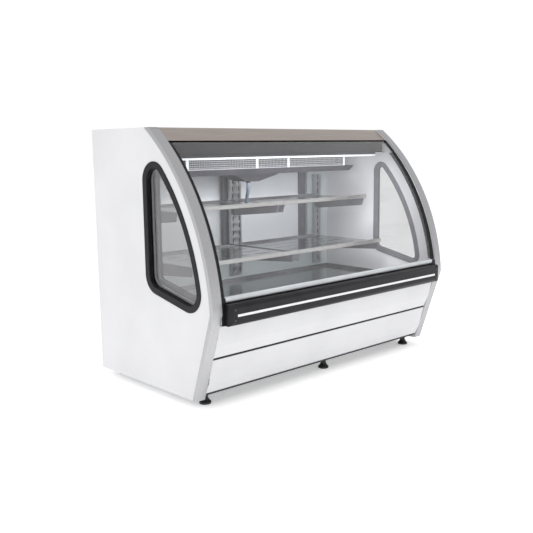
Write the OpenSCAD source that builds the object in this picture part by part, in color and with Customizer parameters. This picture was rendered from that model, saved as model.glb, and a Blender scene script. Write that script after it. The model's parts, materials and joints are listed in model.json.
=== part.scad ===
// Refrigerated deli case with bent front glass, two sliding rear doors and an overhead coil.
// X runs along the case, -Y is the customer's side, +Z is up, and z = 0 is the floor.
// Inside a piece, y = 0 is the front corner line of the end panels.

/* [Case] */
// Overall width over the end panels
case_w = 1500; // [1250:10:1800]
// Depth from the front corner line to the back
body_d = 826; // [740:1:992]
// Overall height
case_h = 1118; // [1060:1:1180]
// Height of the front corner, where the arc of the side profile starts
corner_z = 401; // [380:1:420]
// How far the toe sits back from the front corner
toe_back = 122; // [101:1:147]
// How far the top front edge sits back from the front corner
top_back = 386; // [350:1:410]
// Rise of the side profile's arc above its chord
arc_rise = 88; // [73:1:106]
// Thickness of an end panel with its liner
end_t = 47; // [39:1:57]
// Height of the end panels' lower edge
skirt_z = 36; // [30:1:44]

/* [Base] */
// Height of the underside of the base frame
base_z = 60; // [54:1:72]
// Height of the base frame tube
tube_h = 30; // [25:1:36]
// Width of the base frame tube
tube_w = 40; // [34:1:48]
// Distance of the front feet behind the front corner line
foot_y = 171; // [160:1:200]
// Distance of an outer foot from the inner face of its end panel
foot_side = 39; // [32:1:60]
// Offset of the middle feet from the centre of the case
middle_foot_x = 48; // [0:1:60]
// Radius of a foot's pad
pad_r = 25; // [21:1:30]
// Radius of a foot's threaded stem
stem_r = 6; // [5:0.5:7]

/* [Tub] */
// Height of the deck that the goods lie on
deck_z = 353; // [345:1:360]
// Thickness of the insulated floor
floor_t = 55; // [46:1:66]
// Height of the front sill under the glass
sill_z = 434; // [425:1:445]
// Thickness of the front wall
front_wall_t = 48; // [40:1:58]
// Thickness of the rear wall, with the doors in it
rear_wall_t = 76; // [66:1:91]
// Height of the rear wall's top, under the doors
rear_sill_z = 450; // [440:1:470]

/* [End windows] */
// Inset of the window's outer lip from the side profile
window_in = 63; // [53:1:75]
// Distance of the window's back edge behind the front corner line
window_back = 441; // [400:1:470]
// Height of the window's lower edge, carried forward to the corner line
window_sill_z = 359; // [350:1:380]
// Slope of the window's lower edge, degrees
window_tilt = 12; // [8:1:14]
// Corner radius of the window's outer lip
window_r = 80; // [66:1:96]
// Width of the rubber lip
window_lip = 28; // [24:1:33]
// Inset of the inner frame's edge from the rubber lip's edge
frame_in = 33; // [30:1:39]
// Width of the inner frame
frame_w = 27; // [23:1:32]

/* [Front glass] */
// Thickness of the bent front glass
glass_t = 8; // [6:0.5:10]
// Inset of the glass behind the side profile
glass_in = 8; // [7:0.5:10]
// Gap above the glass that lets it tilt out from under the canopy
glass_top_gap = 7; // [6:0.5:9]
// Radius of the hinge pins
pin_r = 5; // [4:0.5:6]

/* [Canopy] */
// Depth of the canopy's face, measured down from the top
canopy_h = 55; // [46:1:66]
// Depth of the grey fascia under the canopy
fascia_h = 63; // [54:1:75]
// Distance of a lamp's end from the end wall
lamp_side = 75; // [62:1:90]

/* [Bumper] */
// How far the bumper stands in front of the corner line
bumper_out = 30; // [25:1:36]
// Height of the bumper
bumper_h = 85; // [71:1:90]
// Gap between a bumper end and the end trim
bumper_gap = 13; // [10:1:20]

/* [Shelves] */
// Distance of an outer standard's centre line from the end wall
standard_side = 98; // [82:1:118]
// Depth of the upper shelf
upper_depth = 345; // [290:1:414]
// Depth of the lower shelf
lower_depth = 445; // [370:1:534]
// Slot that the upper shelf's brackets hang on, counted from the bottom
upper_slot = 8; // [7:1:8]
// Slot that the lower shelf's brackets hang on
lower_slot = 2; // [1:1:4]
// Distance between the slots of a standard
slot_pitch = 37.5; // [32:0.5:40]
// Gap between the two shelves of a level
shelf_gap = 37; // [31:1:45]

/* [Cooling] */
// Distance of the hood's end from the end wall
hood_side = 186; // [155:1:223]
// Depth of the hood
hood_d = 275; // [230:1:290]
// Height of the opening in front of the coil
guard_h = 110; // [95:1:120]
// Radius of the condenser fan
fan_r = 84; // [70:1:88]

/* [Rear doors] */
// Width of a rear post
post_w = 160; // [134:1:192]
// Overlap of the two doors
door_lap = 108; // [90:1:130]
// Thickness of a door
door_t = 22; // [18:1:24]
// Width of a door's frame members
stile_w = 54; // [45:1:65]

/* [Hidden] */

$fn = 64;
white = "#eeeef2";
silver = "#a8a8ac";
stainless = "#b3aaa4";
grey = "#a9aeb1";
dark = "#6b6b70";
black = "#29282c";
copper = "#b06a44";
glass_tint = [0.75, 0.82, 0.84, 0.35];

hw = case_w / 2;
in_x = hw - end_t;
sheet = 2;
running = 0.05;
joint_gap = 0.5;
screw_head = 2;
corner_y = bumper_out + screw_head - (body_d + bumper_out + screw_head) / 2;
back_y = body_d - sheet;
wall_y = back_y - rear_wall_t + 2;

// side profile: a straight leg up to the corner, then one arc to the top
leg_h = corner_z - skirt_z;
leg_l = norm([toe_back, leg_h]);
chord = norm([top_back, case_h - corner_z]);
arc_r = (chord * chord / 4 + arc_rise * arc_rise) / (2 * arc_rise);
arc_c = [top_back, case_h + corner_z] / 2
    + (arc_r - arc_rise) / chord * [case_h - corner_z, -top_back];
function leg_y(z, inset = 0) = toe_back - (z - skirt_z) * toe_back / leg_h + inset * leg_l / leg_h;
function arc_y(z, inset = 0) = arc_c.x - sqrt(pow(arc_r - inset, 2) - pow(z - arc_c.y, 2));

trim_t = 3;
flange_w = 20;
skin = 2;
hole_in = 12;
pane_t = 4;
pane_hold = 8;
pane_edge = frame_in + 7;
outer_pane_x = hw - 24;
inner_pane_x = in_x + 6;
liner_x = outer_pane_x - 4;

canopy_z = case_h - canopy_h;
ceiling_z = canopy_z + sheet;
fascia_z = canopy_z - fascia_h;
seal_t = 6;
fascia_y = arc_y(canopy_z, glass_in + glass_t + seal_t + joint_gap) + 1;
lip_y = fascia_y + 15;

lamp_x = in_x - lamp_side;

pivot_z = sill_z + 18;
pivot_y = arc_y(pivot_z, glass_in + glass_t / 2);
rail_r = 9;
rail_top = pivot_z + 12;
block_w = 22;
block_r = 11;
rail_x = in_x - block_w - joint_gap;
glass_x = in_x - 8;
strip_t = 1.5;
strip_w = 12;
seal_w = 20;
seal_deep = 16;
glass_top = canopy_z - glass_top_gap;
sill_y = 8;

bumper_z = deck_z + 2;
bumper_x = in_x - bumper_gap;
cap_w = 30;
cap_r = 24;
bumper_round = 16;
plate_t = 5;
insert_h = 10;
insert_x = bumper_x - 38;

panel_t = 1.5;
flange_d = 14;
front_gap_z = 211;
front_gap = 9;

slot_h = 22;
slot_w = 7;
slot_z = deck_z + 62;
std_w = 70;
outer_std_w = 52;
std_d = 20;
std_z = deck_z + 32;
std_top = slot_z + 12.4 * slot_pitch;
std_y = wall_y - std_d;
column_x = 20;
bay_w = in_x - standard_side;
bracket_t = 3;
bracket_h = 70;
bracket_tip = 40;
rail_h = 20;
upper_z = slot_z + (upper_slot + 1) * slot_pitch + 11.5;
lower_z = slot_z + (lower_slot + 1) * slot_pitch + 11.5;

hood_x = in_x - hood_side;
hood_y = wall_y - 15 - hood_d;
hood_z = canopy_z - guard_h - 19;
pan_h = 26;
pan_side = 70;
funnel_x = -62;
funnel_y = hood_y + 105;
spigot_z = hood_z - pan_h - 44;

track_z = rear_sill_z + 20;
track_top_z = canopy_z - 53;
post_x = in_x - post_w;
door_w = post_x + door_lap / 2 - 2;
door_z0 = track_z - 9;
door_z1 = track_top_z + 10;
inner_door_y = wall_y + 14;
outer_door_y = inner_door_y + door_t + 4;
pull_h = 110;

bay_z = base_z + tube_h;
lip_h = 8;
unit_x = 330;
plate_z = 238;
gland_x = in_x - 143;
gland_z = 118;

foot_xs = [-in_x + foot_side, middle_foot_x, in_x - foot_side];
rear_foot_y = back_y - 54;

// ---- helpers ----

module piece(c) translate([0, corner_y, 0]) color(c) children();

// a flat shape drawn in (y, z), swept from x0 to x1
module along_x(x0, x1) translate([x0, 0, 0]) rotate([90, 0, 90]) linear_extrude(x1 - x0) children();

// a flat shape drawn in (x, z), swept from y0 to y1
module along_y(y0, y1) translate([0, y1, 0]) rotate([90, 0, 0]) linear_extrude(y1 - y0) children();

module block(lo, hi) translate(lo) cube(hi - lo);

module rod_x(r, x0, x1, y, z) translate([x0, y, z]) rotate([0, 90, 0]) cylinder(h = x1 - x0, r = r);

module rod_y(r, y0, y1, x, z) translate([x, y0, z]) rotate([-90, 0, 0]) cylinder(h = y1 - y0, r = r);

module both_ends() {
    children();
    mirror([1, 0, 0]) children();
}

// side profile, with its front edges moved in by inset
module side_outline(inset = 0) intersection() {
    translate(arc_c) circle(r = arc_r - inset, $fn = 360);
    polygon([
        [leg_y(skirt_z, inset), skirt_z], [leg_y(corner_z + 200, inset), corner_z + 200],
        [leg_y(corner_z + 200, inset), case_h], [body_d, case_h], [body_d, skirt_z]
    ]);
}

// the front band of the side profile between two insets and two heights
module front_band(near, far, z0, z1) intersection() {
    difference() {
        side_outline(near);
        side_outline(far);
    }
    translate([-body_d / 2, z0]) square([body_d, z1 - z0]);
}

function sill_at(y) = window_sill_z + y * tan(window_tilt);

module window_2d(inset) offset(r = window_r - inset, $fn = 48) offset(delta = -window_r)
    intersection() {
        translate(arc_c) circle(r = arc_r - window_in, $fn = 220);
        polygon([
            [-60, sill_at(-60)], [window_back, sill_at(window_back)],
            [window_back, case_h], [-60, case_h]
        ]);
    }

// ---- base and feet ----

// the front rail carries a black lip that shows under the front panel
module base_rails() piece(dark) difference() {
    union() {
        for (y = [foot_y, rear_foot_y])
            block([-in_x, y - tube_w / 2, base_z], [in_x, y + tube_w / 2, bay_z]);
        block([-in_x + 1, leg_y(base_z) + 7, base_z - lip_h], [in_x - 1, foot_y - tube_w / 2, base_z]);
        block([-in_x + 1, foot_y - tube_w / 2 - 4, base_z], [in_x - 1, foot_y - tube_w / 2, bay_z]);
    }
    for (x = foot_xs, y = [foot_y, rear_foot_y])
        translate([x, y, base_z - 1]) cylinder(h = tube_h + 2, r = stem_r + running);
}

module base_crossmembers() piece(dark) for (x = foot_xs)
    block([x - tube_w / 2, foot_y + tube_w / 2, base_z], [x + tube_w / 2, rear_foot_y - tube_w / 2, bay_z]);

module foot(x, y) piece(black) translate([x, y, 0]) {
    cylinder(h = 6, r = pad_r);
    translate([0, 0, 6]) cylinder(h = 8, r1 = pad_r, r2 = pad_r * 0.45);
    cylinder(h = bay_z - 3, r = stem_r);
    translate([0, 0, base_z - 11]) cylinder(h = 10, r = stem_r * 1.8, $fn = 6);
}

module foot_front_left() foot(foot_xs[0], foot_y);
module foot_front_middle() foot(foot_xs[1], foot_y);
module foot_front_right() foot(foot_xs[2], foot_y);
module foot_rear_left() foot(foot_xs[0], rear_foot_y);
module foot_rear_middle() foot(foot_xs[1], rear_foot_y);
module foot_rear_right() foot(foot_xs[2], rear_foot_y);

// ---- end panels, trims and windows: the right-hand ones, mirrored for the left ----

module end_panel() difference() {
    along_x(in_x, hw - skin) side_outline(trim_t);
    along_x(liner_x, hw + 1) window_2d(hole_in);
    along_x(in_x - 1, liner_x + 1) window_2d(pane_edge);
}

module end_trim() {
    along_x(in_x, hw) front_band(0, trim_t, skirt_z, case_h);
    along_x(hw - skin, hw) front_band(trim_t, flange_w, skirt_z, case_h);
}

module window_pair() {
    along_x(outer_pane_x, outer_pane_x + pane_t) window_2d(window_lip - pane_hold);
    along_x(inner_pane_x, inner_pane_x + pane_t) window_2d(frame_in + frame_w - pane_hold);
}

// outer rubber, up to the liner
module window_gasket() difference() {
    union() {
        along_x(hw - skin, hw) window_2d(0);
        along_x(liner_x, hw - skin) window_2d(hole_in);
    }
    along_x(liner_x - 1, hw + 1) window_2d(window_lip);
    window_pair();
}

// smaller grey frame on the inner side
module window_frame() difference() {
    union() {
        along_x(in_x - 3, in_x) window_2d(frame_in);
        along_x(in_x, liner_x) window_2d(pane_edge);
    }
    along_x(in_x - 4, liner_x + 1) window_2d(frame_in + frame_w);
    window_pair();
}

module end_panel_right() piece(white) end_panel();
module end_panel_left() piece(white) mirror([1, 0, 0]) end_panel();
module end_trim_right() piece(silver) end_trim();
module end_trim_left() piece(silver) mirror([1, 0, 0]) end_trim();
module window_gaskets() piece(black) both_ends() window_gasket();
module window_frames() piece(dark) both_ends() window_frame();
module window_panes() piece(glass_tint) both_ends() window_pair();

// ---- tub, deck and top ----

tub_z = deck_z - 2 - floor_t;
tub_in = sill_y + front_wall_t;

module tub() piece(grey) along_x(-in_x, in_x) polygon([
    [sill_y, sill_z], [tub_in, sill_z], [tub_in, deck_z - 2], [wall_y, deck_z - 2],
    [wall_y, rear_sill_z], [back_y, rear_sill_z], [back_y, tub_z],
    [leg_y(tub_z) + flange_d + 4, tub_z], [leg_y(bumper_z + 4) + flange_d + 4, bumper_z + 4],
    [sill_y, bumper_z + 4]
]);

module deck_pan() piece(stainless) difference() {
    block([-in_x + 1, tub_in, deck_z - 2], [in_x - 1, wall_y, deck_z + 16]);
    block([-in_x + 3, tub_in + 2, deck_z], [in_x - 3, wall_y - 2, deck_z + 17]);
}

// the canopy's face, its corner with the top rounded
canopy_round = 26;
round_c = [
    arc_c.x - sqrt(pow(arc_r - glass_in - canopy_round, 2) - pow(case_h - canopy_round - arc_c.y, 2)),
    case_h - canopy_round
];
round_t = arc_c + (round_c - arc_c) * 1.2;

module canopy_outline(inset) intersection() {
    side_outline(glass_in + inset);
    translate([0, canopy_z + inset]) square([back_y - inset, canopy_h - 2 * inset]);
    union() {
        translate(round_c) circle(r = canopy_round - inset);
        polygon([
            [back_y, case_h], [round_c.x, case_h], round_c, round_t, [0, canopy_z], [back_y, canopy_z]
        ]);
    }
}

module canopy() piece(stainless) along_x(-in_x, in_x) difference() {
    canopy_outline(0);
    canopy_outline(sheet);
    translate([lip_y, canopy_z - 1]) square([body_d, sheet + 1]);
    translate([back_y - sheet, 0]) square([10, case_h - sheet]);
}

module top_panel() piece(grey) along_x(-in_x, in_x) difference() {
    canopy_outline(sheet);
    translate([back_y - sheet, 0]) square([10, case_h]);
}

module header_fascia() piece(dark) {
    block([-in_x + 1, fascia_y, fascia_z], [in_x - 1, fascia_y + sheet, canopy_z]);
    block([-in_x + 1, fascia_y - 18, fascia_z - sheet], [in_x - 1, fascia_y + sheet, fascia_z]);
}

module lamp() piece("#f8fafc") along_x(-lamp_x, lamp_x) polygon([
    [fascia_y - 14, fascia_z - sheet], [fascia_y - 1, fascia_z - sheet], [fascia_y - 1, fascia_z - 11],
    [fascia_y - 5, fascia_z - 20], [fascia_y - 16, fascia_z - 20], [fascia_y - 18, fascia_z - 12]
]);

// ---- overhead coil ----

guard_y = hood_y - 4;
guard_pitch = 23;
guard_bars = floor(2 * hood_x / guard_pitch);

module evaporator_hood() piece(dark) difference() {
    block([-hood_x, hood_y, hood_z], [hood_x, hood_y + hood_d, ceiling_z]);
    block([-hood_x + sheet, hood_y - 1, hood_z - 1], [hood_x - sheet, hood_y + hood_d - sheet, ceiling_z - sheet]);
}

module evaporator_coil() piece(silver) {
    coil_x = hood_x - 40;
    block([-coil_x, hood_y + 30, hood_z + 18], [coil_x, hood_y + hood_d - 40, ceiling_z - 22]);
    for (row = [0:3], side = [-1, 1])
        rod_x(6, side > 0 ? coil_x : -coil_x - 14, side > 0 ? coil_x + 14 : -coil_x, hood_y + 60 + row * 45, hood_z + 52);
}

module evaporator_guard() piece(dark) along_y(guard_y, hood_y) difference() {
    translate([-hood_x, hood_z]) square([2 * hood_x, guard_h]);
    for (i = [0:guard_bars - 1], k = [0:3])
        translate([(i - guard_bars / 2) * guard_pitch + 1.5, hood_z + 8 + k * (guard_h - 16) / 4 + 1.5])
            square([guard_pitch - 3, (guard_h - 16) / 4 - 3]);
}

module guard_straps() piece("#e9ebec") for (x = [-hood_x + 7, -103, 103, hood_x - 7])
    block([x - 7, guard_y - 3, hood_z], [x + 7, guard_y, canopy_z]);

module pan_2d(inset) polygon([
    [-hood_x - pan_side + inset, hood_z], [-hood_x - pan_side / 2 + inset, hood_z - pan_h + inset],
    [hood_x + pan_side / 2 - inset, hood_z - pan_h + inset], [hood_x + pan_side - inset, hood_z]
]);

module funnel_2d(inset) polygon([
    [funnel_x - 145 + inset, hood_z - pan_h + 2 * inset], [funnel_x - 55, spigot_z + 8 + inset],
    [funnel_x + 22, spigot_z + 8 + inset], [funnel_x + 150 - inset, hood_z - pan_h - 5 + inset],
    [funnel_x + 150 - inset, hood_z - pan_h + 2 * inset]
]);

module drain_pan() piece(dark) difference() {
    union() {
        along_y(hood_y - 8, hood_y + hood_d + 2) pan_2d(0);
        along_y(funnel_y - 55, funnel_y + 45) funnel_2d(0);
        translate([funnel_x, funnel_y, spigot_z]) cylinder(h = 10, r = 11);
    }
    along_y(hood_y - 6, hood_y + hood_d) pan_2d(sheet);
    along_y(funnel_y - 53, funnel_y + 43) funnel_2d(sheet);
}

// route of the drain hose: from the funnel, between the shelves, to the middle standard
hose_r = 8.5;
fit_y = std_y - 18;
fit_z = upper_z - 31;
hose_route = [
    [funnel_x, funnel_y, spigot_z], [funnel_x, funnel_y, spigot_z - 20],
    [funnel_x + 12, funnel_y + 15, spigot_z - 44], [funnel_x + 37, funnel_y + 50, spigot_z - 66],
    [-6, std_y - 90, upper_z + 9], [0, std_y - 62, upper_z - 18], [0, std_y - 42, fit_z], [0, fit_y, fit_z]
];

function unit(v) = v / norm(v);
function clamp_i(i, n) = min(max(i, 0), n);
function spline(p0, p1, p2, p3, t) = 0.5 * (2 * p1 + (p2 - p0) * t
    + (2 * p0 - 5 * p1 + 4 * p2 - p3) * t * t + (3 * p1 - p0 - 3 * p2 + p3) * t * t * t);
function smooth_route(p) = let (n = len(p) - 1) concat(
    [for (i = [0:n - 1], s = [0, 0.5])
        spline(p[clamp_i(i - 1, n)], p[i], p[i + 1], p[clamp_i(i + 2, n)], s)],
    [p[n]]);
function heading(p, i) = let (n = len(p) - 1)
    i == 0 ? [0, 0, -1] : i == n ? [0, 1, 0] : unit(p[i + 1] - p[i - 1]);

module tube(route, r, sides = 10) {
    n = len(route);
    rings = [for (i = [0:n - 1]) let (h = heading(route, i), u = [1, 0, 0] - h.x * h, a = unit(u), b = cross(h, a))
        for (k = [0:sides - 1]) route[i] + r * (cos(k * 360 / sides) * a + sin(k * 360 / sides) * b)];
    walls = [for (i = [0:n - 2], k = [0:sides - 1]) let (j = (k + 1) % sides)
        [i * sides + k, (i + 1) * sides + k, (i + 1) * sides + j, i * sides + j]];
    polyhedron(rings, concat(walls,
        [[for (k = [0:sides - 1]) k], [for (k = [sides - 1:-1:0]) (n - 1) * sides + k]]), convexity = 4);
}

module drain_hose() piece([0.62, 0.72, 0.82, 0.7]) tube(smooth_route(hose_route), hose_r);

module drain_fitting() piece(white) difference() {
    union() {
        rod_y(9, fit_y, std_y, 0, fit_z);
        rod_y(14, std_y - 3, std_y, 0, fit_z);
    }
    rod_y(5, fit_y + 2, std_y + 1, 0, fit_z);
}

// ---- standards, brackets and shelves ----

slot_count = floor((std_top - 12 - slot_z) / slot_pitch) + 1;

// a channel with a column of slots at each of the places given
module standard(x, w, columns) translate([x, 0, 0]) difference() {
    block([-w / 2, std_y, std_z], [w / 2, wall_y, std_top]);
    block([-w / 2 + sheet, std_y + sheet, std_z - 1], [w / 2 - sheet, wall_y + 1, std_top + 1]);
    for (k = [0:slot_count - 1], c = columns)
        block([c - slot_w / 2, std_y - 1, slot_z + k * slot_pitch - slot_h / 2],
              [c + slot_w / 2, std_y + 3, slot_z + k * slot_pitch + slot_h / 2]);
}

module standards() piece(silver) {
    standard(0, std_w, [-column_x, column_x]);
    both_ends() standard(bay_w, outer_std_w, [0]);
}

// a cantilever plate with two hooks, its top edge level with z
module bracket(x, z, depth) translate([x, 0, 0]) {
    along_x(-bracket_t / 2, bracket_t / 2) polygon([
        [std_y, z], [std_y - depth + 10, z], [std_y - depth + 24, z - bracket_tip], [std_y, z - bracket_h]
    ]);
    for (drop = [11.5, 11.5 + slot_pitch])
        block([-bracket_t / 2, std_y - 1, z - drop - 8], [bracket_t / 2, std_y + 9, z - drop + 7]);
}

module shelf_brackets() piece(dark)
    for (x = [-bay_w, -column_x, column_x, bay_w]) {
        bracket(x, upper_z, upper_depth);
        bracket(x, lower_z, lower_depth);
    }

// the right-hand shelf of a level: a pan with rows of long slots
module shelf(z, depth) {
    x0 = shelf_gap / 2;
    x1 = bay_w + 3;
    rows = floor((depth - 60) / 90);
    slot_l = (x1 - x0 - 80) / 4;
    difference() {
        union() {
            block([x0, std_y - depth, z], [x1, std_y - 1, z + sheet]);
            block([x0, std_y - 3, z], [x1, std_y - 1, z + 12]);
        }
        for (row = [0:rows], k = [0:3])
            translate([x0 + 46 + k * slot_l, std_y - depth + 40 + row * (depth - 90) / rows, z - 1])
                linear_extrude(sheet + 2) {
                    translate([0, -4]) square([slot_l - 32, 8]);
                    circle(r = 4, $fn = 24);
                    translate([slot_l - 32, 0]) circle(r = 4, $fn = 24);
                }
    }
}

module shelf_rail(z, depth)
    block([shelf_gap / 2, std_y - depth - 4, z - 2], [bay_w + 3, std_y - depth, z - 2 + rail_h]);

module shelves_upper() piece(stainless) both_ends() shelf(upper_z, upper_depth);
module shelves_lower() piece(stainless) both_ends() shelf(lower_z, lower_depth);

module shelf_rails() piece("#c5c5c2") both_ends() {
    shelf_rail(upper_z, upper_depth);
    shelf_rail(lower_z, lower_depth);
}

// ---- front glass and its hinge ----

module front_glass() piece(glass_tint) difference() {
    along_x(-glass_x + strip_t, glass_x - strip_t) front_band(glass_in, glass_in + glass_t, pivot_z, glass_top);
    both_ends() block([rail_x, -body_d, pivot_z - 1], [in_x, body_d, rail_top + 1]);
}

// black edging on the glass's two bent edges
module glass_edge_strips() piece(black) both_ends() {
    along_x(glass_x - strip_w, glass_x) front_band(glass_in - strip_t, glass_in, rail_top + 1, glass_top);
    along_x(glass_x - strip_t, glass_x) front_band(glass_in, glass_in + glass_t, rail_top + 1, glass_top);
}

module glass_bottom_rail() piece("#d9dcde") {
    difference() {
        along_x(-rail_x, rail_x) union() {
            translate([pivot_y, pivot_z]) circle(r = rail_r);
            translate([pivot_y - rail_r, pivot_z]) square([2 * rail_r, rail_top - pivot_z]);
        }
        along_x(-rail_x - 1, rail_x + 1) front_band(glass_in, glass_in + glass_t, pivot_z, rail_top + 1);
    }
    both_ends() rod_x(pin_r, rail_x, rail_x + 15, pivot_y, pivot_z);
}

module hinge_blocks() piece(black) both_ends() difference() {
    union() {
        block([in_x - block_w, pivot_y - block_r, sill_z], [in_x, pivot_y + block_r, pivot_z]);
        rod_x(block_r, in_x - block_w, in_x, pivot_y, pivot_z);
    }
    rod_x(pin_r + running, in_x - block_w - 1, in_x - 3, pivot_y, pivot_z);
}

module glass_seals() piece(black) {
    both_ends() {
        along_x(glass_x + joint_gap, in_x)
            front_band(glass_in - 2, glass_in + glass_t + seal_t, rail_top + 3, canopy_z);
        along_x(in_x - seal_w, in_x)
            front_band(glass_in + glass_t + joint_gap, glass_in + glass_t + seal_deep, rail_top + 3, fascia_z - 6);
    }
    along_x(-glass_x, glass_x)
        front_band(glass_in + glass_t + joint_gap, glass_in + glass_t + seal_t, glass_top - 12, canopy_z);
    block([-rail_x, sill_y, sill_z], [rail_x, pivot_y + rail_r, pivot_z - rail_r - joint_gap]);
}

// ---- bumper ----

bumper_mid = bumper_z + bumper_h / 2 - 3;

module bumper_2d(inset = 0) {
    y0 = -bumper_out + inset;
    z0 = bumper_z + inset;
    z1 = bumper_z + bumper_h - inset;
    r = bumper_round - inset;
    difference() {
        union() {
            translate([y0 + r, z0]) square([sill_y - inset - y0 - r, z1 - z0]);
            translate([y0, z0 + r]) square([r, z1 - z0 - 2 * r]);
            translate([y0 + r, z0 + r]) circle(r = r);
            translate([y0 + r, z1 - r]) circle(r = r);
        }
        translate([pivot_y - block_r - 1, sill_z]) square([60, 60]);
    }
}

module insert_2d() translate([-bumper_out, bumper_mid - insert_h / 2]) square([4, insert_h]);

// hollow bumper on a flat plate that runs the full width between the end panels
module bumper() piece(black) difference() {
    union() {
        along_x(-bumper_x + cap_w, bumper_x - cap_w) difference() {
            bumper_2d();
            bumper_2d(5);
        }
        block([-in_x + 1, sill_y - plate_t, bumper_z], [in_x - 1, sill_y, sill_z - joint_gap]);
    }
    along_x(-insert_x, insert_x) insert_2d();
}

module bumper_caps() piece(black) both_ends() difference() {
    intersection() {
        along_x(bumper_x - cap_w, bumper_x) bumper_2d();
        translate([0, 0, bumper_z]) linear_extrude(bumper_h) union() {
            translate([0, -bumper_out]) square([bumper_x - cap_r, bumper_out + sill_y]);
            translate([0, cap_r - bumper_out]) square([bumper_x, bumper_out + sill_y - cap_r]);
            translate([bumper_x - cap_r, cap_r - bumper_out]) circle(r = cap_r);
        }
    }
    block([0, sill_y - plate_t, bumper_z - 1], [in_x, sill_y + cap_r, bumper_z + bumper_h + 1]);
}

module bumper_insert() piece("#f4f4f4") along_x(-insert_x, insert_x) insert_2d();

// ---- lower front panels: sheet folded along one line ----

module folded(z0, fold, z1) difference() {
    polygon([
        [leg_y(z0) + 5, z0], [leg_y(fold) - 2, fold], [leg_y(z1) + 4, z1],
        [leg_y(z1) + flange_d, z1], [leg_y(z0) + flange_d, z0]
    ]);
    polygon([
        [leg_y(z0) + 5 + panel_t, z0 + panel_t], [leg_y(fold) - 2 + panel_t, fold],
        [leg_y(z1) + 4 + panel_t, z1 - panel_t], [leg_y(z1) + flange_d + 9, z1 - panel_t],
        [leg_y(z0) + flange_d + 9, z0 + panel_t]
    ]);
}

module upper_front_panel() piece(white) along_x(-in_x + 1, in_x - 1)
    folded(front_gap_z + front_gap / 2, tub_z - 26, bumper_z - 3);

module lower_front_panel() piece(white) along_x(-in_x + 1, in_x - 1)
    folded(base_z + 1, base_z + 44, front_gap_z - front_gap / 2);

// ---- rear posts, tracks and doors ----

module rear_posts() piece(grey) both_ends()
    block([post_x, wall_y, rear_sill_z], [in_x, back_y, ceiling_z]);

module track_2d(z0, z1, groove_z0, groove_z1) difference() {
    translate([wall_y + 2, z0]) square([back_y - wall_y - 4, z1 - z0]);
    for (y = [inner_door_y, outer_door_y])
        translate([y - joint_gap, groove_z0]) square([door_t + 2 * joint_gap, groove_z1 - groove_z0]);
}

module door_tracks() piece(silver) {
    along_x(-post_x, post_x) track_2d(rear_sill_z, track_z, track_z - 10, track_z + 1);
    along_x(-post_x, post_x) track_2d(track_top_z, ceiling_z, track_top_z - 1, track_top_z + 22);
}

// a door drawn from x = 0 to door_w, with a finger pull in the stile at pull_x
module door_frame(y, pull_x) difference() {
    block([0, y, door_z0], [door_w, y + door_t, door_z1]);
    block([stile_w, y - 1, door_z0 + stile_w], [door_w - stile_w, y + door_t + 1, door_z1 - stile_w]);
    block([pull_x - 11, y + door_t - 10, (door_z0 + door_z1 - pull_h) / 2],
          [pull_x + 11, y + door_t + 1, (door_z0 + door_z1 + pull_h) / 2]);
}

module door_panel(y)
    block([stile_w, y + 4, door_z0 + stile_w], [door_w - stile_w, y + door_t - 4, door_z1 - stile_w]);

module at_left_door() translate([-post_x + 2, 0, 0]) children();
module at_right_door() translate([post_x - 2 - door_w, 0, 0]) children();

module door_left_frame() piece(dark) at_left_door() door_frame(outer_door_y, stile_w / 2);
module door_left_panel() piece(grey) at_left_door() door_panel(outer_door_y);
module door_right_frame() piece(dark) at_right_door() door_frame(inner_door_y, door_w - stile_w / 2);
module door_right_panel() piece(grey) at_right_door() door_panel(inner_door_y);

// ---- service panel, controls and gland ----

plate_w = 190;
plate_h = 64;
plate_x = -in_x + 40;
switch_x = plate_x + plate_w - 26;
rocker_w = 14;
rocker_r = 13;

module service_panel() piece(white) difference() {
    block([-in_x + 2, back_y - sheet, base_z + 2], [in_x - 2, back_y, tub_z - 2]);
    for (row = [0:6], col = [0:3])
        block([unit_x - 230 + col * 115, back_y - 4, 105 + row * 22], [unit_x - 230 + col * 115 + 95, back_y + 1, 113 + row * 22]);
    block([plate_x + 8, back_y - 4, plate_z - plate_h / 2 + 8], [plate_x + plate_w - 8, back_y + 1, plate_z + plate_h / 2 - 8]);
    rod_y(11, back_y - 4, back_y + 1, gland_x, gland_z);
}

module controller() piece(black) difference() {
    union() {
        block([plate_x, back_y, plate_z - plate_h / 2], [plate_x + plate_w, body_d, plate_z + plate_h / 2]);
        block([plate_x + 8, back_y - 62, plate_z - plate_h / 2 + 8], [plate_x + plate_w - 8, back_y, plate_z + plate_h / 2 - 8]);
    }
    block([plate_x + 18, body_d - 1, plate_z - 14], [plate_x + 96, body_d + 1, plate_z + 14]);
    block([switch_x - rocker_w / 2 - joint_gap, body_d - 17, plate_z - rocker_r - 1],
          [switch_x + rocker_w / 2 + joint_gap, body_d + 1, plate_z + rocker_r + 1]);
}

// rocker that turns on a line just inside the plate
module light_switch() piece("#303234") along_x(switch_x - rocker_w / 2, switch_x + rocker_w / 2)
    polygon([
        [body_d - 12, plate_z - 6], [body_d - 5, plate_z - rocker_r + 1], [body_d - 0.5, plate_z - rocker_r + 1],
        [body_d - 3, plate_z], [body_d - 4, plate_z + rocker_r - 1], [body_d - 8, plate_z + rocker_r - 1]
    ]);

module cord_gland() piece(black) difference() {
    union() {
        rod_y(11, back_y - 14, back_y, gland_x, gland_z);
        rod_y(14, back_y, body_d, gland_x, gland_z);
    }
    rod_y(5, back_y - 15, body_d + 1, gland_x, gland_z);
}

// ---- condensing unit ----

tray_y0 = foot_y + 60;
coil_y = back_y - 64;
fan_y = coil_y - 34;
coil_top = tub_z - 6;
fan_z = coil_top - fan_r - 10;
pot_x = unit_x - 150;
pot_y = tray_y0 + 160;
pot_r = 74;

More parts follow.
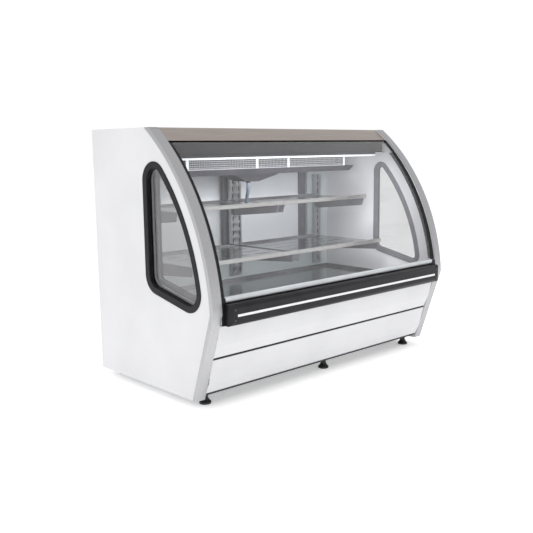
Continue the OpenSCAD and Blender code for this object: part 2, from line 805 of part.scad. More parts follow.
module unit_tray() piece(silver) block([pot_x - 110, tray_y0, bay_z], [unit_x + 160, back_y - 8, bay_z + 3]);

module compressor() piece(black) {
    translate([pot_x, pot_y, bay_z + 3]) {
        cylinder(h = 14, r = 22);
        translate([0, 0, 14]) cylinder(h = 22, r1 = pot_r - 14, r2 = pot_r);
        translate([0, 0, 36]) cylinder(h = 84, r = pot_r);
        translate([0, 0, 120]) cylinder(h = 22, r1 = pot_r, r2 = pot_r - 26);
        translate([0, 0, 142]) cylinder(h = 5, r = pot_r - 26);
        for (a = [45:90:315]) rotate(a) {
            translate([30, -9, 12]) cube([48, 18, 4]);
            translate([66, 0, 0]) cylinder(h = 12, r = 9);
        }
    }
    block([pot_x - 30, pot_y - pot_r - 26, bay_z + 60], [pot_x + 30, pot_y - pot_r + 12, bay_z + 115]);
}

// finned block with a fan ring on its front
module condenser() piece(silver) {
    difference() {
        block([unit_x - 125, coil_y - 42, bay_z + 3], [unit_x + 125, coil_y + 40, coil_top]);
        rod_y(fan_r + 5, coil_y - 43, coil_y, unit_x, fan_z);
        block([unit_x - 120, coil_y - 40, bay_z + 1], [unit_x + 120, coil_y, bay_z + 8]);
    }
}

module condenser_fan() piece(dark) difference() {
    union() {
        rod_y(18, fan_y - 6, fan_y + 14, unit_x, fan_z);
        translate([unit_x, fan_y + 4, fan_z]) for (a = [0:72:288]) rotate([0, a, 0])
            translate([0, 0, fan_r / 2 + 6]) rotate([0, 0, 28])
                translate([-22, -1.5, -fan_r / 2 + 8]) cube([44, 3, fan_r - 18]);
    }
    rod_y(4 + running, fan_y - 7, fan_y + 8, unit_x, fan_z);
}

module fan_motor() piece(dark) {
    rod_y(36, fan_y - 76, fan_y - 14, unit_x, fan_z);
    rod_y(4, fan_y - 14, fan_y + 7, unit_x, fan_z);
    block([unit_x - 22, fan_y - 70, bay_z + 3], [unit_x + 22, fan_y - 66, fan_z - 20]);
    block([unit_x - 22, fan_y - 66, bay_z + 3], [unit_x + 22, fan_y - 30, bay_z + 6]);
}

module refrigerant_lines() piece(copper) {
    top = bay_z + 168;
    rod = 4;
    elbow = 6;
    for (side = [0, 1]) {
        x = pot_x - 20 + side * 30;
        y1 = side == 0 ? tray_y0 + 20 : coil_y + 10;
        x1 = side == 0 ? pot_x - 60 : unit_x - 125;
        translate([x, pot_y, bay_z + 150]) cylinder(h = top - bay_z - 150, r = rod);
        translate([x, pot_y, top]) sphere(r = elbow);
        rod_y(rod, min(pot_y, y1), max(pot_y, y1), x, top);
        translate([x, y1, top]) sphere(r = elbow);
        rod_x(rod, min(x, x1), max(x, x1), y1, top);
    }
    translate([pot_x - 60, tray_y0 + 20, top]) sphere(r = elbow);
    translate([pot_x - 60, tray_y0 + 20, top]) cylinder(h = tub_z - top, r = rod);
}

// ---- screws ----

module screw(x, z) rod_y(4, -screw_head, 0, x, z);

module screws() piece(silver) {
    translate([0, -bumper_out, 0]) both_ends() {
        screw(bumper_x - 27, bumper_z + 22);
        screw(bumper_x - 27, bumper_z + bumper_h - 22);
    }
    translate([0, body_d, 0]) both_ends() {
        screw(in_x - 20, base_z + 20);
        screw(in_x - 20, tub_z - 20);
    }
}

base_rails();
base_crossmembers();
foot_front_left();
foot_front_middle();
foot_front_right();
foot_rear_left();
foot_rear_middle();
foot_rear_right();
end_panel_left();
end_panel_right();
end_trim_left();
end_trim_right();
window_gaskets();
window_panes();
window_frames();
tub();
deck_pan();
top_panel();
canopy();
header_fascia();
lamp();
guard_straps();
evaporator_hood();
evaporator_coil();
evaporator_guard();
drain_pan();
drain_hose();
drain_fitting();
standards();
shelf_brackets();
shelves_upper();
shelves_lower();
shelf_rails();
front_glass();
glass_edge_strips();
glass_bottom_rail();
hinge_blocks();
glass_seals();
bumper();
bumper_caps();
bumper_insert();
upper_front_panel();
lower_front_panel();
door_tracks();
rear_posts();
door_left_frame();
door_left_panel();
door_right_frame();
door_right_panel();
service_panel();
controller();
light_switch();
cord_gland();
unit_tray();
compressor();
condenser();
condenser_fan();
fan_motor();
refrigerant_lines();
screws();
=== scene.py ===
import json
import math

import bmesh
import bpy
from mathutils import Matrix, Vector


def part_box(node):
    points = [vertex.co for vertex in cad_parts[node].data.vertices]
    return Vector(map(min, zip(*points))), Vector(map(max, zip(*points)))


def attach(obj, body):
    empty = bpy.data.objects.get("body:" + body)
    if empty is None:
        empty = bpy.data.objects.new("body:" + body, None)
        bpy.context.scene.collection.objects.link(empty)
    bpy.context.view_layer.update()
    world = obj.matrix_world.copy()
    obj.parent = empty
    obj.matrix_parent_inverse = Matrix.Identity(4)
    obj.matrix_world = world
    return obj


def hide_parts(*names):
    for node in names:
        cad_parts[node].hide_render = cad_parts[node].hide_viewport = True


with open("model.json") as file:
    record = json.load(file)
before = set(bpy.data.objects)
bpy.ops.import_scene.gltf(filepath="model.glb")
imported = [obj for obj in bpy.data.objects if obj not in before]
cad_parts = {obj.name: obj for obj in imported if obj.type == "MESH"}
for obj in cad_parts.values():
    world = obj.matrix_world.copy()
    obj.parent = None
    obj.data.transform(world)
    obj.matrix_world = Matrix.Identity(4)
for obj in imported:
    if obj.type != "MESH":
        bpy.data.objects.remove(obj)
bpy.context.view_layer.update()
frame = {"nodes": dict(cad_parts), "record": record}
scene = bpy.context.scene

MM = 0.001


# ---- camera, floor and light ----

def set_camera():
    """A viewer at the front left of the case, with the eye a little below the canopy."""
    lens = bpy.data.cameras.new("viewer")
    lens.lens = 50.8
    lens.sensor_width = 36
    viewer = bpy.data.objects.new("viewer", lens)
    scene.collection.objects.link(viewer)
    eye = (-2.4943, -2.5642, 1.0274)
    heading, tilt, lean = math.radians(43.026), math.radians(-8.916), math.radians(-0.684)
    turn = Matrix.Rotation(-heading, 4, "Z") @ Matrix.Rotation(math.pi / 2 + tilt, 4, "X")
    turn = turn @ Matrix.Rotation(lean, 4, "Z")
    viewer.matrix_world = Matrix.Translation(eye) @ turn
    scene.camera = viewer


def soft_light(name, place, aim, size, watts):
    """A rectangular lamp at a place in metres, turned to its aim, that shows in no reflection."""
    lamp = bpy.data.lights.new(name, "AREA")
    lamp.shape = "RECTANGLE"
    lamp.size, lamp.size_y = size
    lamp.energy = watts
    rig = bpy.data.objects.new(name, lamp)
    scene.collection.objects.link(rig)
    toward = Vector(aim) - Vector(place)
    turn = toward.to_track_quat("-Z", "Y").to_matrix().to_4x4()
    rig.matrix_world = Matrix.Translation(place) @ turn
    rig.visible_glossy = False
    rig.visible_transmission = False


def lay_floor():
    """A plain pale floor far wider than the view, glowing a little so that it stays near white."""
    bm = bmesh.new()
    bmesh.ops.create_grid(bm, x_segments=1, y_segments=1, size=40)
    mesh = bpy.data.meshes.new("floor")
    bm.to_mesh(mesh)
    bm.free()
    floor = bpy.data.objects.new("floor", mesh)
    scene.collection.objects.link(floor)
    paper = surface("pale_floor", "#f4f4f4", "#f8f8f8", 0.85, cloud_mm=900)
    mesh.materials.append(glowing(paper, 0.4))


def set_backdrop():
    """A white backdrop, a little brighter to the eye than the light it throws on the case."""
    world = bpy.data.worlds.new("studio")
    world.use_nodes = True
    tree = world.node_tree
    seen = add_node(tree, "LightPath").outputs["Is Camera Ray"]
    strength = add_node(tree, "MapRange", {"Value": seen, "To Min": 0.8, "To Max": 1.02}).outputs[0]
    tree.links.new(strength, tree.nodes["Background"].inputs["Strength"])
    tree.nodes["Background"].inputs["Color"].default_value = (1, 1, 1, 1)
    scene.world = world
    scene.view_settings.view_transform = "Standard"


def set_lights():
    """Two softboxes outside, and three weak strips that stand for the light inside the case."""
    soft_light("overhead_softbox", (-0.5, -0.9, 3.6), (0, 0, 0), (4.5, 3.5), 55)
    soft_light("left_softbox", (-3.4, 0.4, 1.6), (-0.7, 0, 0.6), (2.0, 2.0), 8)
    soft_light("case_fill", (0, -0.24, 0.93), (0, 0.1, 0.5), (1.1, 0.16), 7)
    soft_light("deck_fill", (0, -0.27, 0.52), (0, 0.3, 0.48), (1.2, 0.1), 2.5)
    soft_light("middle_fill", (0, -0.2, 0.72), (0, 0.35, 0.68), (1.2, 0.08), 2)


# ---- materials ----

# a noise pattern spends most of its area between these two values
NOISE_LOW, NOISE_HIGH = 0.35, 0.65


def hex_linear(code):
    """An sRGB hex colour as linear RGBA."""
    parts = [int(code[i:i + 2], 16) / 255 for i in (1, 3, 5)]
    return [p / 12.92 if p <= 0.04045 else ((p + 0.055) / 1.055) ** 2.4 for p in parts] + [1]


def add_node(tree, kind, inputs=None, **settings):
    """Adds a shader node, sets its properties, and fills or links its inputs."""
    made = tree.nodes.new("ShaderNode" + kind)
    for name, value in settings.items():
        setattr(made, name, value)
    for name, value in (inputs or {}).items():
        if isinstance(value, bpy.types.NodeSocket):
            tree.links.new(value, made.inputs[name])
        else:
            made.inputs[name].default_value = value
    return made


def surface(name, dark, light, roughness, cloud_mm=120, grain_mm=2.0, grain_depth=0.03,
            stretch=(1, 1, 1), spread=0.06, edge=None, **fixed):
    """A finish whose colour drifts over cloud_mm, and whose gloss and relief follow a finer grain.

    stretch draws the grain out along an axis, and edge is the colour that rubbed corners show.
    """
    made = bpy.data.materials.new(name)
    made.use_nodes = True
    tree = made.node_tree
    tree.nodes.clear()
    where = add_node(tree, "TexCoord").outputs["Object"]
    drawn = add_node(tree, "Mapping", {"Vector": where, "Scale": stretch}).outputs[0]
    cloud = add_node(tree, "TexNoise", {
        "Vector": where if stretch == (1, 1, 1) else drawn,
        "Scale": 1 / (cloud_mm * MM), "Detail": 3.0,
    })
    grain = add_node(tree, "TexNoise", {
        "Vector": drawn, "Scale": 1 / (grain_mm * MM), "Detail": 3.0,
    })
    colour = add_node(tree, "ValToRGB", {"Fac": cloud.outputs[0]})
    colour.color_ramp.elements[0].position = NOISE_LOW
    colour.color_ramp.elements[1].position = NOISE_HIGH
    colour.color_ramp.elements[0].color = hex_linear(dark)
    colour.color_ramp.elements[1].color = hex_linear(light)
    painted = colour.outputs[0]
    if edge:
        corner = add_node(tree, "NewGeometry").outputs["Pointiness"]
        worn = add_node(tree, "MapRange", {
            "Value": corner, "From Min": 0.52, "From Max": 0.62, "To Min": 0.0, "To Max": 0.35,
        })
        # sockets 6 and 7 are the two colours, and output 2 is their mixture
        mixed = add_node(tree, "Mix", data_type="RGBA")
        tree.links.new(worn.outputs[0], mixed.inputs["Factor"])
        tree.links.new(painted, mixed.inputs[6])
        mixed.inputs[7].default_value = hex_linear(edge)
        painted = mixed.outputs[2]
    gloss = add_node(tree, "MapRange", {
        "Value": grain.outputs[0], "From Min": NOISE_LOW, "From Max": NOISE_HIGH,
        "To Min": max(roughness - spread, 0.02), "To Max": roughness + spread,
    })
    relief = add_node(tree, "Bump", {
        "Height": grain.outputs[0], "Distance": grain_depth * MM, "Strength": 0.6,
    })
    shader = add_node(tree, "BsdfPrincipled", {
        "Base Color": painted, "Roughness": gloss.outputs[0], "Normal": relief.outputs[0], **fixed,
    })
    add_node(tree, "OutputMaterial", {"Surface": shader.outputs[0]})
    return made


def glass(name, tint):
    """Tempered float glass: smooth on both faces, and lamps shine through it."""
    made = bpy.data.materials.new(name)
    made.use_nodes = True
    tree = made.node_tree
    tree.nodes.clear()
    shader = add_node(tree, "BsdfPrincipled", {
        "Base Color": hex_linear(tint), "Transmission Weight": 1.0, "Roughness": 0.0, "IOR": 1.5,
        "Specular IOR Level": 0.2,
    })
    clear = add_node(tree, "BsdfTransparent", {"Color": hex_linear(tint)})
    shadow = add_node(tree, "LightPath").outputs["Is Shadow Ray"]
    mixed = add_node(tree, "MixShader", {0: shadow, 1: shader.outputs[0], 2: clear.outputs[0]})
    add_node(tree, "OutputMaterial", {"Surface": mixed.outputs[0]})
    return made


def glowing(made, strength):
    """Lets a finish give off some light in its own colour, as an opal lamp cover does."""
    tree = made.node_tree
    shader = next(n for n in tree.nodes if n.type == "BSDF_PRINCIPLED")
    tree.links.new(shader.inputs["Base Color"].links[0].from_socket, shader.inputs["Emission Color"])
    shader.inputs["Emission Strength"].default_value = strength
    return made


def make_finishes():
    """The finishes, by the record's slot names, and a few for single nodes and small pieces."""
    coat = {"Coat Weight": 0.2, "Coat Roughness": 0.15}
    dull = {"Specular IOR Level": 0.3}
    long_x, long_z = (0.02, 1, 1), (1, 1, 0.02)
    return {
        # polyester powder coat: even, half gloss, with a fine orange peel some 3 mm across
        "white_paint": surface("white_powder_coat", "#d6d6d9", "#dcdcdf", 0.34, 260, 3.0, 0.01, **coat),
        # extruded aluminium, etched and anodised: a satin shine in fine lines that run upwards
        "trim_aluminium": surface(
            "satin_anodised_aluminium", "#b3b3b6", "#bcbcbf", 0.42, 3, 1.4, 0.02,
            long_z, 0.05, Metallic=1.0),
        # stainless sheet brushed along its length; real lines are 0.1 mm, drawn coarser
        "canopy_steel": surface(
            "brushed_stainless_canopy", "#a79d97", "#b4aaa4", 0.33, 2.4, 1.2, 0.012,
            long_x, 0.05, Metallic=1.0),
        # polished stainless sheet: it mirrors the case, softened by a faint grain along its length
        "shelf_steel": surface(
            "polished_stainless_sheet", "#a6a7aa", "#b0b1b4", 0.17, 4, 2.0, 0.01,
            long_x, 0.05, Metallic=1.0),
        # zinc-plated steel: pale and a little cloudy, in patches some 9 mm across
        "standard_steel": surface(
            "zinc_plated_steel", "#b9babd", "#c8c9cc", 0.36, 9, 2.0, 0.015, Metallic=1.0),
        # pressed steel painted an even mid grey, darker than the shelf steel: painted shade, with a soft
        # highlight
        "bracket_paint": surface("grey_bracket_painted_shade", "#6d6d72", "#78787d", 0.42, 120, 3.0, 0.03, **coat),
        # the same coat in dark grey and nearly matt, which stays dark under the lamp
        "header_paint": surface("dark_grey_powder_coat", "#1e1e24", "#26262c", 0.5, 160, 3.0, 0.02, **dull),
        # stoved paint on the drain pan: dark grey with a low shine
        "tray_paint": surface("grey_drip_tray_paint", "#323237", "#3b3b40", 0.45, 160, 3.0, 0.02, **dull),
        # silver paint on the rail under the glass: pale and even, not a mirror
        "silver_profile": surface("silver_glass_rail", "#d3d7da", "#dde1e4", 0.3, 120, 1.4, 0.01),
        # bright anodised aluminium: a clean pale line along each shelf edge
        "rail_aluminium": surface(
            "bright_anodised_aluminium", "#d0cfce", "#d9d8d6", 0.3, 3, 1.4, 0.015,
            long_x, 0.05, Metallic=1.0),
        # coated liner sheet: pale cool grey, with a sheen like enamel
        "liner": surface("light_grey_liner_paint", "#b9c3c5", "#c1cacc", 0.4, 200, 3.0, 0.03, **coat),
        # extruded door profile: even grey and half matt
        "door_frame_plastic": surface("dark_grey_door_profile", "#606068", "#6a6a72", 0.45, 80, 1.2, 0.04),
        # smooth plastic-faced panel: pale, with a broad soft highlight
        "door_panel_plastic": surface("light_grey_door_panel", "#dde1e5", "#e4e8eb", 0.32, 200, 1.2, 0.02),
        # moulded window frame: mid grey, with a fine mould grain
        "window_frame_plastic": surface("grey_window_frame", "#68686e", "#727278", 0.42, 60, 1.2, 0.04),
        # extruded rubber: black and nearly matt
        "black_rubber": surface("black_rubber", "#121115", "#1a191d", 0.55, 40, 1.6, 0.015, **dull),
        # spark-eroded mould grain about 1 mm, drawn a little coarser than the real one
        "black_plastic": surface("grained_black_abs", "#141317", "#1c1b1f", 0.42, 70, 1.2, 0.02, **dull),
        # moulded nylon: black, rubbed to grey at its corners
        "foot_plastic": surface("black_nylon", "#151516", "#1e1e1f", 0.42, 12, 1.0, 0.04, edge="#39393a"),
        # extruded trim strip: white, smooth and glossy
        "insert": surface("white_trim_strip", "#e2e2e4", "#ececee", 0.25, 60, 2.0, 0.01),
        # moulded nylon strap: white, with a slight gloss
        "strap": surface("white_nylon_strap", "#dfe1e3", "#e8eaec", 0.4, 12, 1.0, 0.03),
        # opal cover: milky white, lit from inside
        "lamp_plastic": glowing(surface("opal_lamp_cover", "#e9eff7", "#f2f6fb", 0.4, 40, 1.5, 0.01), 0.15),
        # the web behind the slots, painted nearly black: painted shade for the shade inside the channel,
        # where little light reaches
        "painted_shade_web": surface("painted_shade_channel_web", "#26272a", "#303134", 0.6, 60, 3.0, 0.01, **dull),
        # tempered float glass: almost colourless
        "clear_glass": glass("tempered_glass", "#fafafb"),
        # the end panes are tinted, and so a little darker than the front glass
        "tinted_glass": glass("tinted_window_glass", "#eeeeee"),
        # soft vinyl: bluish and glossy, and it lets some light through
        "hose": surface("bluish_vinyl_hose", "#8fa6c0", "#b4c6da", 0.22, 9, 2.0, 0.05, IOR=1.5,
                        **{"Transmission Weight": 0.35}),
        # plastic-coated wire: pale grey, with small soft highlights
        "wire": surface("coated_guard_wire", "#b9b9bd", "#c8c8cc", 0.42, 9, 1.0, 0.02),
        # thin aluminium fins, painted dark grey: painted shade from the gaps between them, with a dull
        # metal shine that runs upwards
        "coil": surface(
            "aluminium_fins_painted_shade", "#505257", "#63666b", 0.38, 6, 1.4, 0.02, long_z, 0.06, Metallic=1.0),
        # black paint on the base frame: dark with a low shine
        "frame_paint": surface("black_frame_paint", "#171718", "#202021", 0.45, 60, 2.5, 0.04),
        # black gloss paint on a drawn steel shell: dark, with a clearer highlight
        "compressor_paint": surface(
            "black_compressor_paint", "#0f0f10", "#18181a", 0.33, 60, 2.5, 0.04, **coat),
        # moulded fan blades and shroud: dark grey and half matt
        "fan_plastic": surface("black_fan_plastic", "#1e1e20", "#2a2a2c", 0.45, 40, 1.2, 0.04),
        # drawn copper tube, dulled to brown in patches
        "copper": surface("drawn_copper_tube", "#8a5236", "#bd7a51", 0.32, 18, 1.4, 0.02, Metallic=1.0),
        # blackened steel: dark grey, with a small bright glint
        "screw_steel": surface("blackened_screw", "#5a5a5e", "#6d6d71", 0.35, 3, 0.8, 0.02, Metallic=1.0),
    }


# nodes whose finish differs from the rest of their slot
OWN_FINISH = {
    "header_fascia": "header_paint",
    "evaporator_hood": "header_paint",
    "guard_straps": "strap",
    "drain_fitting": "strap",
    "drain_pan": "tray_paint",
    "glass_bottom_rail": "silver_profile",
    "window_panes": "tinted_glass",
}


def slot_of(node):
    """The record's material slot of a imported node."""
    return next(row for row in frame["record"]["subparts"] if row["node"] == node)["material_slot"]


def finish_of(node):
    """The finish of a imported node: its own, or that of its slot."""
    return OWN_FINISH.get(node, slot_of(node))


# edge radius of the sheet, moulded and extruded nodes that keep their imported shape, in mm
ROUNDED = {
    "header_fascia": 0.8, "guard_straps": 1.0, "drain_pan": 0.8, "evaporator_hood": 0.8,
    "shelf_brackets": 0.8, "glass_bottom_rail": 0.8, "hinge_blocks": 1.5, "bumper": 1.5,
    "upper_front_panel": 1.2, "lower_front_panel": 1.2, "door_tracks": 0.5, "door_left_frame": 1.5,
    "door_right_frame": 1.5, "rear_posts": 1.0, "light_switch": 0.8, "unit_tray": 0.8,
    "base_rails": 1.5, "base_crossmembers": 1.5, "bumper_insert": 0.8, "compressor": 3.0,
    "door_left_panel": 0.8, "door_right_panel": 0.8, "tub": 2.0,
}
# an edge that turns by more than this is a corner
CORNER_ANGLE = math.radians(40)
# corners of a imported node's loose triangles that lie this close, in metres, are one
WELD_REACH = 0.00001


def round_edges(piece, radius):
    """Gives a piece's corners a small radius in millimetres."""
    edge = piece.modifiers.new("edge_radius", "BEVEL")
    edge.width = radius * MM
    edge.segments = 2
    edge.limit_method = "ANGLE"
    edge.angle_limit = CORNER_ANGLE


def finish_nodes():
    """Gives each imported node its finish, and a small radius where the real edge has one."""
    for name, node in frame["nodes"].items():
        node.data.materials.clear()
        node.data.materials.append(finishes[finish_of(name)])
        if name in ROUNDED:
            weld = node.modifiers.new("weld", "WELD")
            weld.merge_threshold = WELD_REACH
            round_edges(node, ROUNDED[name])


# ---- building ----

def corners(node):
    """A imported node's lowest and highest corners in millimetres."""
    low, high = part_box(node)
    return [v / MM for v in low], [v / MM for v in high]


def copy_of(node):
    """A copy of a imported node's mesh, in millimetres."""
    bm = bmesh.new()
    bm.from_mesh(frame["nodes"][node].data)
    bmesh.ops.scale(bm, vec=(1 / MM, 1 / MM, 1 / MM), verts=bm.verts)
    return bm


def add_bar(bm, low, high):
    """A square bar between two corners."""
    size = [b - a for a, b in zip(low, high)]
    middle = [(a + b) / 2 for a, b in zip(low, high)]
    place = Matrix.Translation(middle) @ Matrix.Diagonal((*size, 1))
    bmesh.ops.create_cube(bm, size=1, matrix=place)


def add_rod(bm, start, end, radius, sides=8):
    """A round bar between two points."""
    line = Vector(end) - Vector(start)
    turn = line.to_track_quat("Z", "Y").to_matrix().to_4x4()
    place = Matrix.Translation((Vector(start) + Vector(end)) / 2) @ turn
    bmesh.ops.create_cone(bm, cap_ends=True, segments=sides, radius1=radius, radius2=radius,
                          depth=line.length, matrix=place)


def add_turned(bm, profile, place, steps):
    """Turns a profile of (radius, height) points once round the upright axis, and puts it in place."""
    points = [bm.verts.new((radius, 0, height)) for radius, height in profile]
    lines = [bm.edges.new(pair) for pair in zip(points, points[1:])]
    bmesh.ops.spin(bm, geom=points + lines, cent=(0, 0, 0), axis=(0, 0, 1), angle=math.tau,
                   steps=steps, use_merge=True, dvec=(0, 0, 0))
    # what was turned before carries a tag, and stays where it is
    made = {v for v in bm.verts if not v.tag}
    bmesh.ops.transform(bm, matrix=place, verts=list(made))
    for vert in made:
        vert.tag = True


def add_extruded(bm, outline, start, end):
    """An outline of (y, z) points drawn out along x."""
    face = bm.faces.new([bm.verts.new((start, y, z)) for y, z in outline])
    swept = bmesh.ops.extrude_face_region(bm, geom=[face])["geom"]
    moved = [v for v in swept if isinstance(v, bmesh.types.BMVert)]
    bmesh.ops.translate(bm, vec=(end - start, 0, 0), verts=moved)


def add_bend(bm, centre, reach, radius, side):
    """A half-round return bend that joins two tubes 2 * reach apart in y."""
    ring = bmesh.ops.create_circle(bm, cap_ends=False, segments=8, radius=radius)["verts"]
    turn = Matrix.Rotation(math.pi / 2, 4, "Y")
    place = Matrix.Translation(Vector(centre) + Vector((0, -reach, 0))) @ turn
    bmesh.ops.transform(bm, matrix=place, verts=ring)
    lines = list({edge for vert in ring for edge in vert.link_edges})
    bmesh.ops.spin(bm, geom=ring + lines, cent=centre, axis=(0, 0, -side), angle=math.pi,
                   steps=8, dvec=(0, 0, 0))


def finish_piece(bm, name, body, nodes, finish, rounding=0.0, second=None):
    """Merges and smooths a piece built in millimetres, and hangs it on its body.

    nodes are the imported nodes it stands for, and second is the finish of its faces with index 1.
    """
    bmesh.ops.remove_doubles(bm, verts=bm.verts, dist=0.001)
    bmesh.ops.recalc_face_normals(bm, faces=bm.faces)
    bmesh.ops.scale(bm, vec=(MM, MM, MM), verts=bm.verts)
    mesh = bpy.data.meshes.new(name)
    bm.to_mesh(mesh)
    bm.free()
    mesh.shade_smooth()
    mesh.set_sharp_from_angle(angle=CORNER_ANGLE)
    piece = bpy.data.objects.new(name, mesh)
    scene.collection.objects.link(piece)
    mesh.materials.append(finishes[finish])
    if second:
        mesh.materials.append(finishes[second])
    if rounding:
        round_edges(piece, rounding)
    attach(piece, body)
    if nodes:
        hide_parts(*nodes)


# ---- cold unit under the canopy ----

WIRE_PITCH = 9.5
WIRE_RADIUS = 1.0
# width of the guard's flat frame, which each wire enters by half
GUARD_FRAME = 4
# how far the upright wires and the cross wires stand behind the frame's face
UPRIGHT_SETBACK = 1.2
CROSS_SETBACK = 2.6


def make_guard():
    """A welded mesh of fine wire in a flat frame, in front of the coil."""
    low, high = corners("evaporator_guard")
    bm = bmesh.new()
    for z0, z1 in ((low[2], low[2] + GUARD_FRAME), (high[2] - GUARD_FRAME, high[2])):
        add_bar(bm, (low[0], low[1], z0), (high[0], high[1], z1))
    for x0, x1 in ((low[0], low[0] + GUARD_FRAME), (high[0] - GUARD_FRAME, high[0])):
        add_bar(bm, (x0, low[1], low[2]), (x1, high[1], high[2]))
    across = round((high[0] - low[0]) / WIRE_PITCH)
    up = round((high[2] - low[2]) / WIRE_PITCH)
    entry = GUARD_FRAME / 2
    for i in range(1, across):
        x = low[0] + i * (high[0] - low[0]) / across
        y = low[1] + UPRIGHT_SETBACK
        add_rod(bm, (x, y, low[2] + entry), (x, y, high[2] - entry), WIRE_RADIUS, 6)
    for i in range(1, up):
        z = low[2] + i * (high[2] - low[2]) / up
        y = low[1] + CROSS_SETBACK
        add_rod(bm, (low[0] + entry, y, z), (high[0] - entry, y, z), WIRE_RADIUS, 6)
    finish_piece(bm, "guard_mesh", "case", ["evaporator_guard"], "wire")


# real fins stand 3 to 4 mm apart; these are drawn 7 mm apart so that they show
FIN_PITCH = 7.0
HALF_FIN, HALF_END_PLATE = 0.4, 1.0
TUBE_RADIUS = 4.5
TUBE_ROWS, TUBE_LEVELS = 8, 4
# room left outside each end plate for the return bends
BEND_ROOM = 18


def make_coil():
    """Sheet fins on tube passes that turn back outside the end plates."""
    low, high = corners("evaporator_coil")
    x0, x1 = low[0] + BEND_ROOM, high[0] - BEND_ROOM
    bm = bmesh.new()
    fins = round((x1 - x0) / FIN_PITCH)
    for i in range(fins + 1):
        x = x0 + i * (x1 - x0) / fins
        half = HALF_END_PLATE if i in (0, fins) else HALF_FIN
        add_bar(bm, (x - half, low[1], low[2]), (x + half, high[1], high[2]))
    step = (high[1] - low[1]) / TUBE_ROWS
    rise = (high[2] - low[2]) / TUBE_LEVELS
    for level in range(TUBE_LEVELS):
        z = low[2] + (level + 0.5) * rise
        for row in range(TUBE_ROWS):
            y = low[1] + (row + 0.5) * step
            add_rod(bm, (x0 - 1, y, z), (x1 + 1, y, z), TUBE_RADIUS)
        for row in range(TUBE_ROWS - 1):
            y = low[1] + (row + 1) * step
            x, side = (x1 + 1, 1) if row % 2 == 0 else (x0 - 1, -1)
            add_bend(bm, (x, y, z), step / 2, TUBE_RADIUS, side)
    finish_piece(bm, "evaporator_fins", "case", ["evaporator_coil"], "coil")


def make_lamp():
    """A lamp under the header: a metal back and an opal cover below it."""
    low, high = corners("lamp")
    front, base = low[1:]
    back, top = high[1:]
    bm = bmesh.new()
    add_extruded(bm, (
        (front + 3, top), (front + 1.5, top - 9), (back - 1, top - 9), (back - 1, top),
    ), low[0], high[0])
    finish_piece(bm, "lamp_back", "case", ["lamp"], "header_paint", 0.6)
    end_gap = 3
    bm = bmesh.new()
    add_extruded(bm, (
        (front + 1.5, top - 9.2), (front, top - 12), (front + 1.5, base + 2.5), (front + 5, base + 0.6),
        (front + 9, base), (back - 5, base + 0.8), (back - 2, base + 3.5), (back - 1, top - 9.2),
    ), low[0] + end_gap, high[0] - end_gap)
    finish_piece(bm, "lamp_cover", "case", ["lamp"], "lamp_plastic", 0.4)


# ---- bumper and front panels ----

# from the end of the insert strip to the inner end of a cap
CAP_OFFSET = 8
CAP_ROUNDING = 16


def make_bumper_caps():
    """Moulded end caps: full round over the top, foot and outer corner."""
    low, high = corners("bumper_caps")
    inner = corners("bumper_insert")[1][0] + CAP_OFFSET
    for side, name in ((-1, "bumper_cap_left"), (1, "bumper_cap_right")):
        bm = bmesh.new()
        ends = sorted((side * inner, side * high[0]))
        add_bar(bm, (ends[0], low[1], low[2]), (ends[1], high[1], high[2]))
        front = [e for e in bm.edges if all(v.co.y < low[1] + 1 for v in e.verts)
                 and not all(abs(v.co.x) < inner + 1 for v in e.verts)]
        bmesh.ops.bevel(bm, geom=front, offset=CAP_ROUNDING, segments=6, profile=0.5, affect="EDGES",
                        material=-1)
        finish_piece(bm, name, "case", ["bumper_caps"], "black_plastic", 1.0)


# half section of a screw head, from its socket out over the dome to the seat
SCREW_HEAD = ((0, 0.6), (1.4, 0.6), (1.5, 1.95), (2.6, 1.7), (3.6, 1.0), (3.95, 0), (0, 0))
CAP_SCREW_FROM_END, CAP_SCREW_FROM_EDGE = 27, 22
PANEL_SCREW_FROM_MIDDLE, PANEL_SCREW_HEIGHTS = 683, (80, 276)


def make_screws():
    """Dome-headed screws with a socket, two to a bumper cap and four in the service panel."""
    cap_face = corners("screws")[0][1] + 2
    cap_low, cap_high = corners("bumper_caps")
    panel_face = corners("service_panel")[1][1]
    cap_x = cap_high[0] - CAP_SCREW_FROM_END
    cap_heights = (cap_low[2] + CAP_SCREW_FROM_EDGE, cap_high[2] - CAP_SCREW_FROM_EDGE)
    spots = [(side * cap_x, cap_face, z, -1) for side in (-1, 1) for z in cap_heights]
    spots += [(side * PANEL_SCREW_FROM_MIDDLE, panel_face, z, 1)
              for side in (-1, 1) for z in PANEL_SCREW_HEIGHTS]
    bm = bmesh.new()
    for x, y, z, way in spots:
        turn = Matrix.Rotation(-way * math.pi / 2, 4, "X")
        add_turned(bm, SCREW_HEAD, Matrix.Translation((x, y, z)) @ turn, 16)
    finish_piece(bm, "screw_heads", "case", ["screws"], "screw_steel")


def make_gap_strip():
    """A black strip in the joint between the two front panels: painted shade, standing for the shadow where
    the upper panel overlaps the lower.
    """
    upper, lower = corners("upper_front_panel"), corners("lower_front_panel")
    front, base, top = lower[0][1] + 1.2, lower[1][2] + 0.3, upper[0][2] - 0.3
    back = front + 14
    bm = bmesh.new()
    add_extruded(bm, (
        (front, base + 1), (front - 1.2, top - 1), (front - 0.6, top), (back, top), (back, base),
        (front + 0.8, base),
    ), lower[0][0], lower[1][0])
    finish_piece(bm, "panel_joint_painted_shade", "case", [], "black_rubber", 0.4)


# ---- shelves ----

# half the slit between a left and a right rail
RAIL_SLIT = 1.5
# how far a rail hangs below its shelf, and stands out in front of it
RAIL_DROP, RAIL_DEPTH = 2, 4


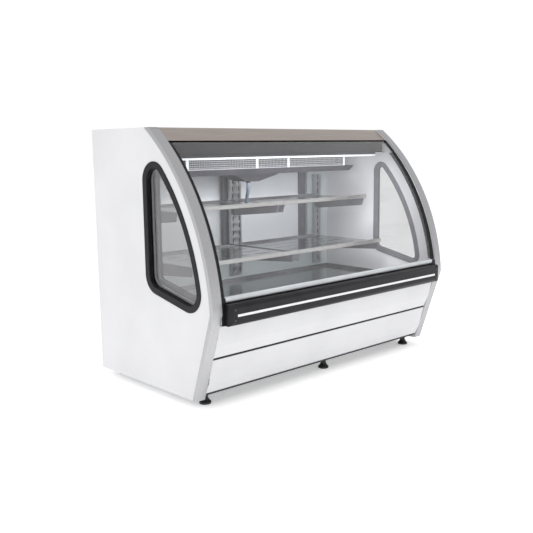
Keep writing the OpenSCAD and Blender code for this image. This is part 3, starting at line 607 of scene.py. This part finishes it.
def make_rails():
    """Shelf-edge strips: a shallow channel for price labels, with a rolled lip each side."""
    low, high = corners("shelf_rails")
    bm = bmesh.new()
    for shelf in ("shelves_upper", "shelves_lower"):
        shelf_low = corners(shelf)[0]
        front = shelf_low[1] - RAIL_DEPTH
        base = shelf_low[2] - RAIL_DROP
        top = base + (high[2] - corners("shelves_upper")[0][2] + RAIL_DROP)
        outline = (
            (front + RAIL_DEPTH, base), (front + RAIL_DEPTH, top), (front + 0.8, top), (front, top - 0.9),
            (front, top - 2.2), (front + 1.4, top - 3), (front + 1.4, base + 3),
            (front, base + 2.2), (front, base + 0.9), (front + 0.8, base),
        )
        for x0, x1 in ((low[0], -RAIL_SLIT), (RAIL_SLIT, high[0])):
            add_extruded(bm, outline, x0, x1)
    finish_piece(bm, "label_rails", "case", ["shelf_rails"], "rail_aluminium")


# the inner edge of an end channel's web, and half the width of the middle one's
END_WEB, MIDDLE_WEB = 50, 33
# how far the webs stand behind the channels' face
WEB_SETBACK = 10


def make_standards():
    """Slotted channels, each with a web behind its slots that is painted dark as painted shade."""
    low, high = corners("standards")
    bm = copy_of("standards")
    plated = set(bm.faces)
    webs = ((low[0] + 2, low[0] + END_WEB), (-MIDDLE_WEB, MIDDLE_WEB), (high[0] - END_WEB, high[0] - 2))
    for x0, x1 in webs:
        add_bar(bm, (x0, low[1] + WEB_SETBACK, low[2] + 1), (x1, low[1] + WEB_SETBACK + 1, high[2] - 1))
    for face in bm.faces:
        face.material_index = 0 if face in plated else 1
    finish_piece(bm, "slotted_standards", "case", ["standards"], "standard_steel",
                 second="painted_shade_web")


# ---- bent and rounded pieces ----

# curved nodes, and the radius of their edges in mm
CURVED = {
    "glass_edge_strips": 0, "glass_seals": 0, "end_trim_left": 0.8, "end_trim_right": 0.8,
    "window_gaskets": 5.0, "window_frames": 1.2, "canopy": 1.2, "drain_hose": 0,
}


def make_curved():
    """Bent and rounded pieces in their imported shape, with the facets smoothed over."""
    for node, rounding in CURVED.items():
        body = "front_glass_door" if node == "glass_edge_strips" else "case"
        finish_piece(copy_of(node), node + "_finished", body, [node], finish_of(node),
                     rounding)


# ---- feet ----

STEM_RADIUS, THREAD_ROOT, THREAD_PITCH = 8.0, 6.8, 2.4
NUT_RADIUS, NUT_DEPTH = 14, 9
# the middle of the jam nut, above the floor
NUT_HEIGHT = 44


def foot_profile(top):
    """Half section of a levelling foot: pad, flare, neck and threaded stem."""
    points = [(0, 0), (22.5, 0), (24.6, 1.2), (25, 3), (25, 8), (23.6, 10), (21, 11.5),
              (15, 20), (12.5, 27), (12, 34), (STEM_RADIUS, 34.5)]
    z = 35.0
    while z < top - 3:
        points += [(STEM_RADIUS, z), (THREAD_ROOT, z + THREAD_PITCH / 2)]
        z += THREAD_PITCH
    return points + [(STEM_RADIUS, top - 1), (STEM_RADIUS - 1, top), (0, top)]


def make_feet():
    """Levelling feet: a nylon pad, a threaded stem and a jam nut."""
    for node in sorted(n for n in frame["nodes"] if n.startswith("foot_")):
        low, high = corners(node)
        x, y = (low[0] + high[0]) / 2, (low[1] + high[1]) / 2
        bm = bmesh.new()
        add_turned(bm, foot_profile(high[2]), Matrix.Translation((x, y, 0)), 36)
        nut = Matrix.Translation((x, y, NUT_HEIGHT))
        bmesh.ops.create_cone(bm, cap_ends=True, segments=6, radius1=NUT_RADIUS, radius2=NUT_RADIUS,
                              depth=NUT_DEPTH, matrix=nut)
        finish_piece(bm, node + "_pad", node + "_body", [node], "foot_plastic", 0.6)


finishes = make_finishes()
set_camera()
lay_floor()
set_backdrop()
set_lights()
finish_nodes()
make_guard()
make_coil()
make_bumper_caps()
make_screws()
make_gap_strip()
make_rails()
make_curved()
make_lamp()
make_standards()
make_feet()
